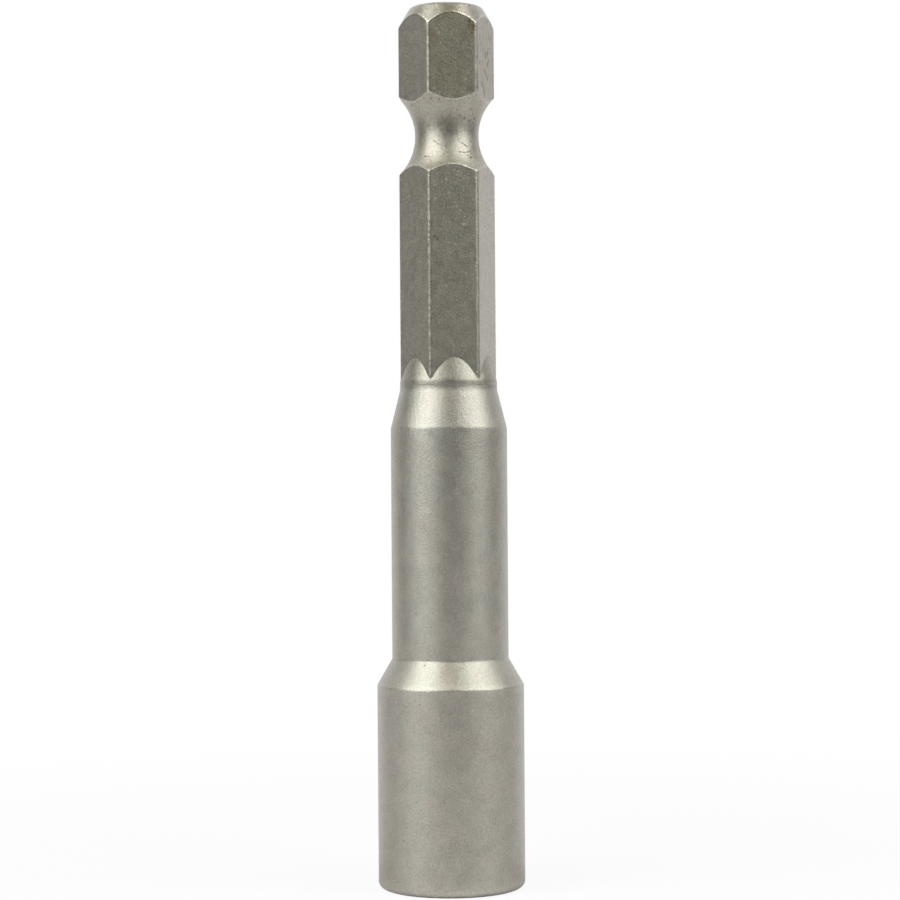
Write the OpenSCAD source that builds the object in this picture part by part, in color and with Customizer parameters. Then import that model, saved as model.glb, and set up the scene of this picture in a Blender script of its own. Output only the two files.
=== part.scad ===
// Magnetic nut setter: a hex drive shank pressed into a turned socket body, with a magnet
// in a non-magnetic sleeve at the bottom of the hex nut pocket.
// It stands on the socket's rim, in millimetres: the origin is the centre of the rim and +Z
// runs up the shank. One flat of the shank and one of the pocket face -Y.

/* [Overall] */
// Length from the socket's rim to the end of the shank
overall_l = 65; // [60:1:75]
// Length of shank that stands clear of the socket body
shank_l = 27.95; // [25:0.05:32]

/* [Hex shank] */
// Width of the hex shank across its flats
hex_af = 6.25; // [6:0.05:6.35]
// How far each corner of the hex is turned down, measured on the radius
corner_dulling = 0.045; // [0.03:0.005:0.15]
// Diameter of the flat face on the shank's end
end_face_d = 5.31; // [4.6:0.01:5.6]
// Angle between the end chamfer and the axis
end_chamfer_angle = 30.5; // [20:0.5:45]
// Radius that breaks the edge of the end face
end_edge_r = 0.4; // [0.05:0.05:0.6]

/* [Ball groove] */
// Distance from the shank's end to the middle of the groove
groove_from_end = 9.5; // [9:0.05:11]
// Diameter of the shank at the middle of the groove
groove_neck_d = 4.7; // [4.2:0.05:5]
// Radius of the groove's round section
groove_section_r = 4; // [3.5:0.05:4.5]

/* [Collar] */
// Length of the round collar at the foot of the hex
collar_l = 0.35; // [0.2:0.05:1.5]
// How far the collar stands out from the corners of the hex
collar_step = 0.02; // [0:0.01:0.1]
// Blend radius from the collar to the cones above and below it
collar_blend_r = 1; // [0.2:0.1:2]
// Angle between the axis and the cone that runs the collar out into the flats
runout_angle = 15.5; // [10:0.5:25]
// Radius that breaks both edges of the seam between collar and body
seam_edge_r = 0.08; // [0.03:0.01:0.1]

/* [Spigot] */
// Width across the flats of the hex spigot that is pressed into the body
spigot_af = 4.6; // [4:0.1:5]
// Length of the spigot below the seam
spigot_l = 12; // [8:1:16]
// Chamfer on the end of the spigot
spigot_chamfer = 0.4; // [0.2:0.1:0.8]
// Room left under the spigot
spigot_end_gap = 0.3; // [0.1:0.1:1]

/* [Socket body] */
// Diameter of the round neck
neck_d = 8.6; // [8.2:0.02:9.5]
// Length of the straight land just below the seam
land_l = 0.2; // [0.2:0.05:1]
// Angle between the axis and the cone above the neck
shoulder_angle = 14; // [10:1:30]
// Blend radius at the foot of that cone
shoulder_blend_r = 1; // [0.2:0.1:3]
// Diameter of the socket head
head_d = 10.84; // [10.4:0.02:12]
// Length of the socket head below the step
head_l = 15; // [12:0.05:18]
// Angle between the axis and the step from neck to head
step_angle = 30; // [20:1:45]
// Blend radius at both edges of the step
step_blend_r = 0.4; // [0.1:0.1:1]
// Radius that breaks the outer edge of the rim
rim_edge_r = 0.6; // [0.05:0.05:0.8]

/* [Nut pocket] */
// Width across the flats of the nut or screw head that it drives
nut_af = 7; // [6:0.5:7.5]
// Play between the nut and the pocket, across the flats
nut_play = 0.08; // [0.04:0.02:0.2]
// Depth of the pocket, from the rim to the magnet's sleeve
pocket_depth = 6; // [4.5:0.5:8]
// How far the lead-in cone reaches outside the pocket's corners
lead_in = 0.2; // [0.1:0.05:0.4]
// Angle between the lead-in cone and the axis
lead_in_angle = 45; // [30:5:60]

/* [Magnet] */
// Length of the magnet
magnet_l = 4; // [2:0.5:6]
// How far the magnet's face lies behind the sleeve's
magnet_recess = 0.1; // [0:0.05:0.3]
// Wall of the non-magnetic sleeve round the magnet
sleeve_wall = 0.6; // [0.4:0.05:1]
// Width of the pocket floor that is left between the sleeve's bore and the flats
pocket_ledge = 0.18; // [0.1:0.02:0.4]
// Radius that breaks the edges of the magnet and its sleeve
insert_edge_r = 0.12; // [0.05:0.01:0.2]

/* [Fits] */
// Gap left on each side of a pressed surface
press_gap = 0.01; // [0.005:0.005:0.03]

/* [Hidden] */
$fn = 96;
arc_steps = 6; // straight steps in each blended corner of a profile
past = 1; // how far a cut runs past the face that it opens

seam_z = overall_l - shank_l;
corner_d = across_corners(hex_af) - 2 * corner_dulling;
collar_d = corner_d + 2 * collar_step;
groove_z = overall_l - groove_from_end;
spigot_corner_d = across_corners(spigot_af) - 2 * corner_dulling;

shoulder_top_z = seam_z - land_l;
shoulder_foot_z = shoulder_top_z - (neck_d - collar_d) / 2 / tan(shoulder_angle);
step_top_z = head_l + (head_d - neck_d) / 2 / tan(step_angle);

pocket_af = nut_af + nut_play;
lead_in_d = across_corners(pocket_af) + 2 * lead_in;
lead_in_l = (lead_in_d - pocket_af) / 2 / tan(lead_in_angle);
magnet_bore_d = pocket_af - 2 * pocket_ledge;
sleeve_d = magnet_bore_d - 2 * press_gap;
sleeve_bore_d = sleeve_d - 2 * sleeve_wall;
sleeve_l = magnet_recess + magnet_l;
magnet_d = sleeve_bore_d - 2 * press_gap;

function across_corners(across_flats) = across_flats / cos(30);

function unit(v) = v / norm(v);

// The blend radius between the collar and a cone, which stops short of the seam's edge
function collar_blend(straight, cone_angle) =
    min(collar_blend_r, (straight - seam_edge_r) / tan(cone_angle / 2));

// The points of an arc of the given radius that is tangent to corner-before and
// corner-after, in place of the corner itself.
function blend(before, corner, after, radius) =
    let (
        back = unit(before - corner),
        on = unit(after - corner),
        half = acos(back * on) / 2,
        start = corner + back * radius / tan(half),
        centre = corner + unit(back + on) * radius / sin(half),
        side = sign(back.y * on.x - back.x * on.y),
        turn = (180 - 2 * half) * side,
        spoke = start - centre
    )
    [for (i = [0:arc_steps])
        let (a = turn * i / arc_steps)
        centre + [
            spoke.x * cos(a) - spoke.y * sin(a),
            spoke.x * sin(a) + spoke.y * cos(a)
        ]
    ];

// A half-profile from a list of corners [radius, height, blend radius], where a blend
// radius of 0 leaves the corner sharp.
function blended(corners) =
    let (n = len(corners))
    [for (i = [0:n - 1])
        let (c = corners[i], p = [c[0], c[1]])
        each c[2] == 0
            ? [p]
            : let (a = corners[(i + n - 1) % n], b = corners[(i + 1) % n])
                blend([a[0], a[1]], p, [b[0], b[1]], c[2])
    ];

module turned(corners) {
    rotate_extrude() polygon(blended(corners));
}

// A hex bar with flats facing +Y and -Y, from z = 0 up, whose corners are turned down
// to over_corners.
module hex_bar(across_flats, over_corners, length) {
    intersection() {
        cylinder(d = across_corners(across_flats), h = length, $fn = 6);
        cylinder(d = over_corners, h = length);
    }
}

module hex_hole(across_flats, length) {
    cylinder(d = across_corners(across_flats), h = length, $fn = 6);
}

// Everything that the turned end chamfer leaves of a bar
module end_chamfer_envelope() {
    envelope_d = corner_d + 2 * past;
    envelope_z = overall_l - (envelope_d - end_face_d) / 2 / tan(end_chamfer_angle);
    turned([
        [0, seam_z, 0],
        [envelope_d / 2, seam_z, 0],
        [envelope_d / 2, envelope_z, 0],
        [end_face_d / 2, overall_l, end_edge_r],
        [0, overall_l, 0]
    ]);
}

// The round-section groove that the chuck's balls drop into
module ball_groove() {
    translate([0, 0, groove_z])
        rotate_extrude()
            translate([groove_neck_d / 2 + groove_section_r, 0])
                circle(r = groove_section_r);
}

// The round collar, and the cone that runs it out into the flats as six arches
module collar() {
    top_d = hex_af - past; // well inside the flats
    cone_l = (collar_d - top_d) / 2 / tan(runout_angle);
    turned([
        [0, seam_z, 0],
        [collar_d / 2, seam_z, seam_edge_r],
        [collar_d / 2, seam_z + collar_l, collar_blend(collar_l, runout_angle)],
        [top_d / 2, seam_z + collar_l + cone_l, 0],
        [0, seam_z + collar_l + cone_l, 0]
    ]);
}

module spigot() {
    intersection() {
        translate([0, 0, seam_z - spigot_l])
            hex_bar(spigot_af, spigot_corner_d, spigot_l + collar_l);
        turned([
            [0, seam_z - spigot_l, 0],
            [spigot_corner_d / 2 - spigot_chamfer, seam_z - spigot_l, 0],
            [spigot_corner_d / 2, seam_z - spigot_l + spigot_chamfer, 0],
            [spigot_corner_d / 2, seam_z + collar_l, 0],
            [0, seam_z + collar_l, 0]
        ]);
    }
}

module drive_shank() {
    color([0.60, 0.59, 0.55])
        union() {
            difference() {
                intersection() {
                    translate([0, 0, seam_z + collar_l])
                        hex_bar(hex_af, corner_d, shank_l - collar_l);
                    end_chamfer_envelope();
                }
                ball_groove();
            }
            collar();
            spigot();
        }
}

module body_blank() {
    turned([
        [0, 0, 0],
        [head_d / 2, 0, rim_edge_r],
        [head_d / 2, head_l, step_blend_r],
        [neck_d / 2, step_top_z, step_blend_r],
        [neck_d / 2, shoulder_foot_z, shoulder_blend_r],
        [collar_d / 2, shoulder_top_z, collar_blend(land_l, shoulder_angle)],
        [collar_d / 2, seam_z, seam_edge_r],
        [0, seam_z, 0]
    ]);
}

// The hex pocket, with the lead-in cone at its mouth
module nut_pocket() {
    translate([0, 0, -past]) hex_hole(pocket_af, pocket_depth + past);
    turned([
        [0, -past, 0],
        [lead_in_d / 2, -past, 0],
        [lead_in_d / 2, 0, 0],
        [pocket_af / 2, lead_in_l, 0],
        [0, lead_in_l, 0]
    ]);
}

module magnet_bore() {
    translate([0, 0, pocket_depth - past])
        cylinder(d = magnet_bore_d, h = sleeve_l + past);
}

module spigot_hole() {
    depth = spigot_l + spigot_end_gap;
    translate([0, 0, seam_z - depth])
        hex_hole(spigot_af + 2 * press_gap, depth + past);
}

module socket_body() {
    color([0.62, 0.61, 0.57])
        difference() {
            body_blank();
            nut_pocket();
            magnet_bore();
            spigot_hole();
        }
}

// A tube round the magnet that keeps its pull away from the steel wall
module magnet_sleeve() {
    seat_z = pocket_depth + sleeve_l;
    color([0.75, 0.76, 0.77])
        turned([
            [sleeve_bore_d / 2, pocket_depth, insert_edge_r],
            [sleeve_d / 2, pocket_depth, insert_edge_r],
            [sleeve_d / 2, seat_z, insert_edge_r],
            [sleeve_bore_d / 2, seat_z, insert_edge_r]
        ]);
}

module magnet() {
    face_z = pocket_depth + magnet_recess;
    color([0.80, 0.80, 0.78])
        turned([
            [0, face_z, 0],
            [magnet_d / 2, face_z, insert_edge_r],
            [magnet_d / 2, face_z + magnet_l, insert_edge_r],
            [0, face_z + magnet_l, 0]
        ]);
}

drive_shank();
socket_body();
magnet_sleeve();
magnet();
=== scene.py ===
"""Finished look of the magnetic nut setter, built round its packed CAD model.

Blender 4.5 runs this file as a script. The CAD model is loaded first and stays as it is. Each
CAD node is then replaced by a finer mesh of the same shape, with broken edges, worn corners
and its own metal, and the studio is set up round it. Lengths are in metres, except where the
code says millimetres.
"""

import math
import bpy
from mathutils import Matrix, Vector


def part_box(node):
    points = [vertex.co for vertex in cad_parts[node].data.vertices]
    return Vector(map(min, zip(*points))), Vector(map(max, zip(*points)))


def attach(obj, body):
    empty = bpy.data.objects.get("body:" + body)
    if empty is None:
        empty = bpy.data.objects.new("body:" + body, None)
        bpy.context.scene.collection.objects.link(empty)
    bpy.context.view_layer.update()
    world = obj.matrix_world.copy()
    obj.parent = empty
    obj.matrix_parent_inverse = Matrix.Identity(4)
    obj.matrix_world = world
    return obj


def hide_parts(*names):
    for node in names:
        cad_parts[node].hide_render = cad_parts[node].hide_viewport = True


bl_info = {
    "name": "Nut Setter",
    "version": (1, 0, 0),
    "blender": (4, 5, 0),
    "location": "3D View > Sidebar > Nut Setter",
    "description": "Builds the pieces, finishes and studio of a magnetic nut setter",
    "category": "Object",
}

import bpy
import numpy as np
from bpy.props import FloatProperty, FloatVectorProperty, PointerProperty
from mathutils import Matrix, Vector, noise

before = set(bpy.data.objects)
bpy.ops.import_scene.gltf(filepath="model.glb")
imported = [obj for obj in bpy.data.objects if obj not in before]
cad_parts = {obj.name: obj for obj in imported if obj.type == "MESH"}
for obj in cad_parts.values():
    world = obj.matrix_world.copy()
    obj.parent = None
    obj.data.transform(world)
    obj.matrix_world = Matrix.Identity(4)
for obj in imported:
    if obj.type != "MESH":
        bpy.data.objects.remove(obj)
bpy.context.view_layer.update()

MM = 0.001
IMAGE_SIDE = 900  # pixels along each side of the photograph's frame
SENSOR_WIDTH = 36.0  # in millimetres, as the focal length

# The studio: soft boxes with their turn from the camera, elevation, width and height
BOX_DISTANCE = 0.40
BOX_AIM = 32 * MM  # height on the tool's axis
KEY_BOX = (math.radians(-53.4), math.radians(35.0), (0.365, 0.43))
FILL_BOX = (math.radians(60.9), math.radians(35.2), (0.345, 0.38))
BACKDROP_TURN = math.radians(1.5)  # the backdrop stands a little to the right
BACKDROP_EDGE = (math.radians(70), math.radians(48))  # it fades in between these, from its middle
STEEP_DOWN = -0.8  # rise of the directions that only a view from below sees, through the floor
STEEP_FADE = 0.1  # change of rise over which the floor's colour takes over from the room's
RIM_CLEARANCE = (6.0 * MM, 13.0 * MM)  # from here to here the floor that is mirrored turns white
GLOW_REACH = (0.03, 0.11)  # distances over which the floor's glow grows to all of it

SHANK_LOW, SHANK_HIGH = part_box("drive_shank")
BODY_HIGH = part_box("socket_body")[1]
SLEEVE_LOW, SLEEVE_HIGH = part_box("magnet_sleeve")
MAGNET_LOW, MAGNET_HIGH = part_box("magnet")


# Sizes and colours that a user would change


def length(name, description, millimetres):
    return FloatProperty(
        name=name, description=description, default=millimetres * MM, min=0.0, precision=5,
        unit="LENGTH",
    )


def angle(name, description, degrees):
    return FloatProperty(
        name=name, description=description, default=math.radians(degrees), subtype="ANGLE"
    )


def share(name, description, default):
    return FloatProperty(
        name=name, description=description, default=default, min=0.0, max=1.0, subtype="FACTOR"
    )


def level(name, description, default):
    return FloatProperty(name=name, description=description, default=default, min=0.0)


def colour(name, description, default):
    return FloatVectorProperty(
        name=name, description=description, default=default, min=0.0, max=1.0, size=3,
        subtype="COLOR",
    )


class DriveShankSettings(bpy.types.PropertyGroup):
    """Sizes and finish of the hex drive shank"""

    across_flats: length("Across Flats", "Width of the hex between two flats", 6.25)
    end_face: length("End Face", "Diameter of the flat face on the end", 5.31)
    end_edge: length("End Edge", "Radius of the edge of the end face", 0.4)
    end_chamfer: angle("End Chamfer", "Angle between the end chamfer and the axis", 30.5)
    groove_from_end: length("Groove from End", "Distance from the end to the groove", 9.5)
    groove_neck: length("Groove Neck", "Diameter at the middle of the ball groove", 4.7)
    groove_radius: length("Groove Radius", "Radius of the groove's round section", 4.0)
    collar_length: length("Collar Length", "Length of the round collar above the seam", 0.32)
    collar_step: length("Collar Step", "How far the collar stands out from the corners", 0.025)
    collar_blend: length("Collar Blend", "Radius from the collar to the arches", 1.0)
    runout: angle("Run-Out", "Angle between the axis and the cone of the six arches", 15.2)
    edge_break: length("Edge Break", "How far the turned edges are rounded off", 0.05)
    corner_wear: length("Corner Wear", "How far the hex corners are worn down", 0.006)
    steel: colour("Steel", "Colour of the blasted steel", (0.426, 0.408, 0.342))
    roughness: share("Roughness", "Roughness of the blasted steel", 0.43)


class SocketBodySettings(bpy.types.PropertyGroup):
    """Sizes and finish of the socket body"""

    neck: length("Neck", "Diameter of the round neck", 8.6)
    shoulder: angle("Shoulder", "Angle between the axis and the cone above the neck", 14.0)
    shoulder_blend: length("Shoulder Blend", "Radius at the foot of the shoulder", 1.0)
    land: length("Land", "Length of the straight land below the seam", 0.27)
    land_blend: length("Land Blend", "Radius from the land to the shoulder", 1.9)
    head_length: length("Head Length", "Height of the wide head", 15.0)
    step: angle("Step", "Angle between the axis and the step from neck to head", 30.0)
    step_blend: length("Step Blend", "Radius of both edges of the step", 0.4)
    rim_edge: length("Rim Edge", "Radius of the outer edge of the rim", 0.6)
    seam_edge: length("Seam Edge", "Radius of both edges of the seam", 0.03)
    pocket: length("Pocket", "Width of the hex pocket between two flats", 7.08)
    lead_in: length("Lead-In", "How far the lead-in reaches outside the corners", 0.2)
    ledge: length("Ledge", "Width of the pocket floor outside the magnet's bore", 0.18)
    spigot: length("Spigot", "Width of the shank's hex spigot between two flats", 4.6)
    steel: colour("Steel", "Colour of the blasted steel", (0.439, 0.426, 0.368))
    roughness: share("Roughness", "Roughness of the blasted steel", 0.43)


class InsertSettings(bpy.types.PropertyGroup):
    """Sizes and finish of the magnet and its sleeve"""

    sleeve_wall: length("Sleeve Wall", "Wall of the sleeve round the magnet", 0.6)
    edge: length("Edge", "Radius of the broken edges", 0.12)
    aluminium: colour("Aluminium", "Colour of the turned sleeve", (0.62, 0.63, 0.64))
    nickel: colour("Nickel", "Colour of the magnet's plating", (0.66, 0.65, 0.62))


class StageSettings(bpy.types.PropertyGroup):
    """Camera, soft boxes, room and floor"""

    camera_azimuth: angle("Camera Azimuth", "Where the camera stands round the tool", -8.13)
    camera_distance: length("Camera Distance", "Distance from the tool's axis", 180.48)
    camera_height: length("Camera Height", "Height of the level camera", 30.82)
    camera_roll: angle("Camera Roll", "Roll of the camera about its own axis", 0.408)
    focal_length: FloatProperty(
        name="Focal Length", description="Focal length in millimetres on a 36 mm sensor",
        default=97.6, min=1.0, unit="CAMERA",
    )
    rise: level("Rise", "How far the frame is shifted up, in pixels", 20.3)
    drift: level("Drift", "How far the frame is shifted to the right, in pixels", 0.85)
    key_level: level("Key Level", "Brightness of the soft box on the left", 3.08)
    fill_level: level("Fill Level", "Brightness of the soft box on the right", 2.76)
    box_colour: colour("Box Colour", "Colour of both soft boxes", (0.945, 0.966, 0.99))
    key_lean: angle("Key Lean", "How far the soft box on the left leans from the camera", 7.0)
    fill_lean: angle("Fill Lean", "How far the soft box on the right leans to the camera", 20.0)
    room: colour("Room", "Colour of the room's walls in front of the tool", (0.03, 0.03, 0.036))
    ceiling: colour("Ceiling", "Colour of the room's ceiling", (0.55, 0.515, 0.41))
    backdrop: colour("Backdrop", "Colour of the backdrop", (1.0, 1.0, 1.0))
    bounce: colour("Bounce", "Colour of the backdrop as the tool mirrors it", (0.955, 0.955, 1.0))
    bounce_level: level("Bounce Level", "Brightness of the backdrop as the tool mirrors it", 1.08)
    floor: colour("Floor", "Colour of the floor", (0.84, 0.82, 0.87))
    floor_glow: share("Floor Glow", "How far the floor is lifted to the backdrop's white", 0.9)
    floor_hole: length("Floor Hole", "Radius of the hole that lets light into the pocket", 4.5)
    floor_front: length("Floor Front", "Distance from the axis to the floor's front edge", 118.0)
    floor_side: length("Floor Side", "Distance from the axis to the floor's side edges", 330.0)
    floor_back: length("Floor Back", "Distance from the axis to the floor's back edge", 5000.0)


# Shapes: every piece is lofted from rows of points round the axis

# Small roundings and wear that only the finished pieces have
RIPPLE_RADIUS = 3.5 * MM  # about that of the shank, where a ripple's bumps are as long as wide
SPIGOT_CHAMFER, SPIGOT_EDGE = 0.4 * MM, 0.05 * MM
HOLE_CORNER = 0.02 * MM  # rounding of the corners of the spigot and its hole
HOLE_CLEARANCE = 0.3 * MM  # from the foot of the spigot to the bottom of its hole
POCKET_DULL, POCKET_CORNER = 0.03 * MM, 0.05 * MM  # depth and rounding of the pocket's corners
PRESS_GAP = 0.01 * MM  # play between the spigot and its hole on each side
LONG_CORNER, SHORT_CORNER = 0.056 * MM, 0.045 * MM  # hex corners below and above the groove
FIRST_ROW = 0.01 * MM  # height of the collar's first row above the edge of the seam
ARCH_EDGE = 0.010 * MM  # rounding where the arches' cone leaves the flats
LOWEST_ARCH = 0.14 * MM  # least height of the arches' middle row above the collar
MOST_WEAR = 1.4  # deepest wear of a corner, as a share of its setting
WEAR_START = 0.5 * MM  # the corners are unworn at the collar and fully worn this far above it
CORNER_REACH = 0.05 * MM  # over this the dull of a worn corner fades out on the flats
EDGE_REACH = 0.06 * MM  # over this a rubbed edge fades out
WAVER = 0.018 * MM  # how far the turned edges of the body wander up and down
# Radius of the last row before the axis, on the shank's end, in the bores and on the magnet
END_CENTRE, BORE_CENTRE, MAGNET_CENTRE = 0.04 * MM, 0.3 * MM, 0.2 * MM
CLOSE_ROWS = MM * np.array([  # rows beside a curve in which a turned surface cuts the hex
    -0.15, -0.10, -0.065, -0.035, -0.012, 0.012, 0.035, 0.065, 0.10, 0.15])


def smooth_min(a, b, k):
    """The lower of a and b, rounded off where they differ by less than k."""
    h = np.maximum(k - np.abs(a - b), 0.0) / k
    return np.minimum(a, b) - h * h * k / 4


def smooth_max(a, b, k):
    return -smooth_min(-a, -b, k)


def ripple(columns, heights, size, seed):
    """Soft noise from about -1 to 1 over the angles and heights, with bumps of that size."""
    reach = RIPPLE_RADIUS / size
    x, y, z = np.broadcast_arrays(
        np.cos(columns) * reach, np.sin(columns) * reach + seed, heights / size
    )
    flat = [noise.noise(Vector(p)) for p in zip(x.flat, y.flat, z.flat)]
    return np.array(flat).reshape(x.shape)


def column_angles():
    """Angles of the lofts' columns, close together at the six corners of the hex."""
    off = [0.3, 0.55, 0.75, 0.9, 1.05, 1.2, 1.35, 1.55, 1.9, 2.6, 3.8, 5.5, 8.0, 11.0, 14.5,
           18.5, 22.5, 26.5]
    sector = [-a for a in reversed(off)] + [0.0] + off + [30.0]
    return np.radians([60.0 * k + a for k in range(6) for a in sector])


COLUMNS = column_angles()


def hex_flats(across_flats):
    """Radius of a sharp hex at each column, with flats facing +Y and -Y."""
    off_flat = np.mod(COLUMNS, math.pi / 3) - math.pi / 6
    return across_flats / 2 / np.cos(off_flat)


def around(value):
    """That value at every column."""
    return np.zeros(len(COLUMNS)) + value


def blend(before, corner, after, radius, steps):
    """Points of an arc that is tangent to both sides of a corner, at each column."""
    back, on = before - corner, after - corner
    back = back / np.linalg.norm(back, axis=0)
    on = on / np.linalg.norm(on, axis=0)
    half = np.arccos(np.clip((back * on).sum(0), -1.0, 1.0)) / 2
    middle = back + on
    middle = middle / np.linalg.norm(middle, axis=0)
    start = corner + back * radius / np.tan(half)
    centre = corner + middle * radius / np.sin(half)
    spoke = start - centre
    side = np.sign(back[1] * on[0] - back[0] * on[1])
    points = []
    for i in range(steps + 1):
        turn = (math.pi - 2 * half) * side * i / steps
        points.append(centre + np.array([
            spoke[0] * np.cos(turn) - spoke[1] * np.sin(turn),
            spoke[0] * np.sin(turn) + spoke[1] * np.cos(turn),
        ]))
    return points


def outline(corners, spacing=0.5 * MM, steps=7):
    """Rows [radius, height, edge] along a list of corners (radius, height, blend, edge).

    The edge value says how much of a worn outer edge the corner is. The straights are cut
    into rows no further apart than spacing.
    """
    corners = [(np.array([around(r), around(z)]), b, e) for r, z, b, e in corners]
    points = []
    for i, (corner, radius, edge) in enumerate(corners):
        if radius == 0:
            points.append((corner, edge))
            continue
        arc = blend(corners[i - 1][0], corner, corners[i + 1][0], radius, steps)
        points += [(p, edge) for p in arc]
    rows = []
    for (p, edge_p), (q, edge_q) in zip(points, points[1:]):
        cuts = max(1, math.ceil(np.linalg.norm(q - p, axis=0).max() / spacing))
        for i in range(cuts):
            t = i / cuts
            edge = edge_p if t == 0 else (edge_p if edge_p == edge_q else 0.0)
            rows.append((p[0] + (q[0] - p[0]) * t, p[1] + (q[1] - p[1]) * t, around(edge)))
    last, edge = points[-1]
    rows.append((last[0], last[1], around(edge)))
    return rows


def add_object(name, data):
    made = bpy.data.objects.new(name, data)
    bpy.context.scene.collection.objects.link(made)
    return made


def loft(name, rows, ring=False):
    """A closed mesh through the rows: a ring if ring is set, otherwise capped on the axis."""
    count, width = len(rows), len(COLUMNS)
    radius = np.array([r for r, z, e in rows])
    height = np.array([z for r, z, e in rows])
    edge = np.array([e for r, z, e in rows]).ravel()
    points = np.stack(
        [radius * np.cos(COLUMNS), radius * np.sin(COLUMNS), height], axis=-1
    ).reshape(-1, 3)
    faces = []
    for i in range(count if ring else count - 1):
        low, high = i * width, (i + 1) % count * width
        for j in range(width):
            k = (j + 1) % width
            faces.append((low + j, low + k, high + k, high + j))
    if not ring:
        first, last = len(points), len(points) + 1
        points = np.vstack([points, [[0, 0, height[0, 0]], [0, 0, height[-1, 0]]]])
        edge = np.append(edge, [0.0, 0.0])
        top = (count - 1) * width
        for j in range(width):
            k = (j + 1) % width
            faces.append((first, k, j))
            faces.append((last, top + j, top + k))
    mesh = bpy.data.meshes.new(name)
    mesh.from_pydata(points.tolist(), [], faces)
    mesh.update()
    mesh.attributes.new("edge_wear", "FLOAT", "POINT").data.foreach_set("value", edge)
    mesh.polygons.foreach_set("use_smooth", [True] * len(mesh.polygons))
    mesh.normals_split_custom_set_from_vertices(area_normals(mesh))
    return add_object(name, mesh)


def area_normals(mesh):
    """Vertex normals weighted by the area of the faces, so wide faces stay flat."""
    normals = np.zeros((len(mesh.vertices), 3))
    for face in mesh.polygons:
        for v in face.vertices:
            normals[v] += np.array(face.normal) * face.area
    size = np.linalg.norm(normals, axis=1, keepdims=True)
    return (normals / np.maximum(size, 1e-30)).tolist()


def dress(piece, node, material):
    """Puts the piece in place of its CAD node, with its material and slot."""
    piece.data.materials.append(material)
    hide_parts(node)
    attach(piece, "root")


def sharp_corner(across_flats):
    """Radius of a sharp hex at its corners."""
    return across_flats / 2 / math.cos(math.pi / 6)


def near_edge(gap):
    """1 on an edge, fading to 0 as the two surfaces come further apart."""
    return np.exp(-((gap / EDGE_REACH) ** 2))


def shank_rows(s, body):
    """Rows of the shank, from the spigot's end up to the middle of the end face."""
    foot, top = SHANK_LOW.z, SHANK_HIGH.z
    seam = BODY_HIGH.z
    collar, collar_top = SHANK_HIGH.x, seam + s.collar_length
    corner = collar - s.collar_step
    dulling = sharp_corner(s.across_flats) - corner
    spigot_corner = sharp_corner(body.spigot) - dulling
    spigot = smooth_min(hex_flats(body.spigot), spigot_corner, HOLE_CORNER)
    rows = outline([
        (spigot_corner - 2 * SPIGOT_CHAMFER, foot, 0, 0),
        (spigot_corner - SPIGOT_CHAMFER, foot, SPIGOT_EDGE, 0),
        (spigot, foot + spigot - spigot_corner + SPIGOT_CHAMFER, SPIGOT_EDGE, 0),
        (spigot, seam, 0, 0),
        (collar, seam, body.seam_edge, 0.2),
        (collar, collar_top, 0, 0),
    ], spacing=1.5 * MM)[:-1]

    # The part from the collar to the end chamfer is worked out surface by surface. Its rows
    # follow the curves in which the turned surfaces cut the hex.
    groove = top - s.groove_from_end
    groove_centre = s.groove_neck / 2 + s.groove_radius
    face, face_cone = s.end_face / 2, around(top - s.end_edge)
    tan_end, tan_runout = math.tan(s.end_chamfer), math.tan(s.runout)
    sharp = np.minimum(hex_flats(s.across_flats), corner)
    arch = np.maximum(collar_top + (collar - sharp) / tan_runout, collar_top + LOWEST_ARCH)
    reach = np.sqrt(s.groove_radius ** 2 - (groove_centre - sharp) ** 2)
    heights = [around(seam + body.seam_edge + FIRST_ROW)]
    for stop, offsets, cuts in (
            (around(collar_top), [0.0], 5),
            (arch, CLOSE_ROWS, 16),
            (groove - reach, CLOSE_ROWS, 84),
            (groove + reach, CLOSE_ROWS, 52),
            (top - (sharp - face) / tan_end, CLOSE_ROWS, 34),
            (face_cone, [0.0], 8)):
        here, there = heights[-1], stop + offsets[0]
        heights += [here + (there - here) * i / cuts for i in range(1, cuts)]
        heights += [stop + offset for offset in offsets]
    z = np.array(heights)

    broad, fine = ripple(COLUMNS, z, 1.1 * MM, 5.0), ripple(COLUMNS, z, 0.3 * MM, 9.0)
    dulled = corner - s.corner_wear * np.clip(0.45 + 0.7 * broad + 1.0 * fine, 0.0, MOST_WEAR)
    dulled = dulled + (corner - dulled) * np.clip(1 - (z - collar_top) / WEAR_START, 0, 1)
    break_edge = s.edge_break * (0.9 + 0.8 * ripple(COLUMNS, z, 0.5 * MM, 21.0))
    flats = hex_flats(s.across_flats) + np.zeros_like(z)
    bar = smooth_min(flats, dulled, np.where(z < groove, LONG_CORNER, SHORT_CORNER))
    soft = s.collar_blend * math.tan(s.runout / 2)
    cone = collar - tan_runout * smooth_max(z - collar_top, 0.0 * z, soft)
    bar_and_collar = smooth_max(bar, cone, ARCH_EDGE)
    drop = np.clip(s.groove_radius ** 2 - (z - groove) ** 2, 0.0, None)
    hollow = groove_centre - np.sqrt(drop)
    chamfered = face + (top - z) * tan_end
    grooved = smooth_min(bar_and_collar, hollow, break_edge)
    radius = smooth_min(grooved, chamfered, break_edge)
    inside = np.minimum(np.minimum(hollow, chamfered) - bar, bar - cone)
    worn = np.where(inside > 0, np.clip((flats - dulled) / CORNER_REACH + 0.6, 0.0, 1.0), 0.0)
    edge = np.maximum(near_edge(bar_and_collar - hollow), near_edge(bar_and_collar - chamfered))
    edge = edge - worn * (1 - edge)
    rows += list(zip(np.minimum(radius, collar), z, edge))
    rows += outline([
        (face + (top - face_cone) * tan_end, face_cone, 0, 0),
        (face, top, s.end_edge, 0.3),
        (END_CENTRE, top, 0, 0),
    ], spacing=0.35 * MM)[1:]
    return rows


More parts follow.
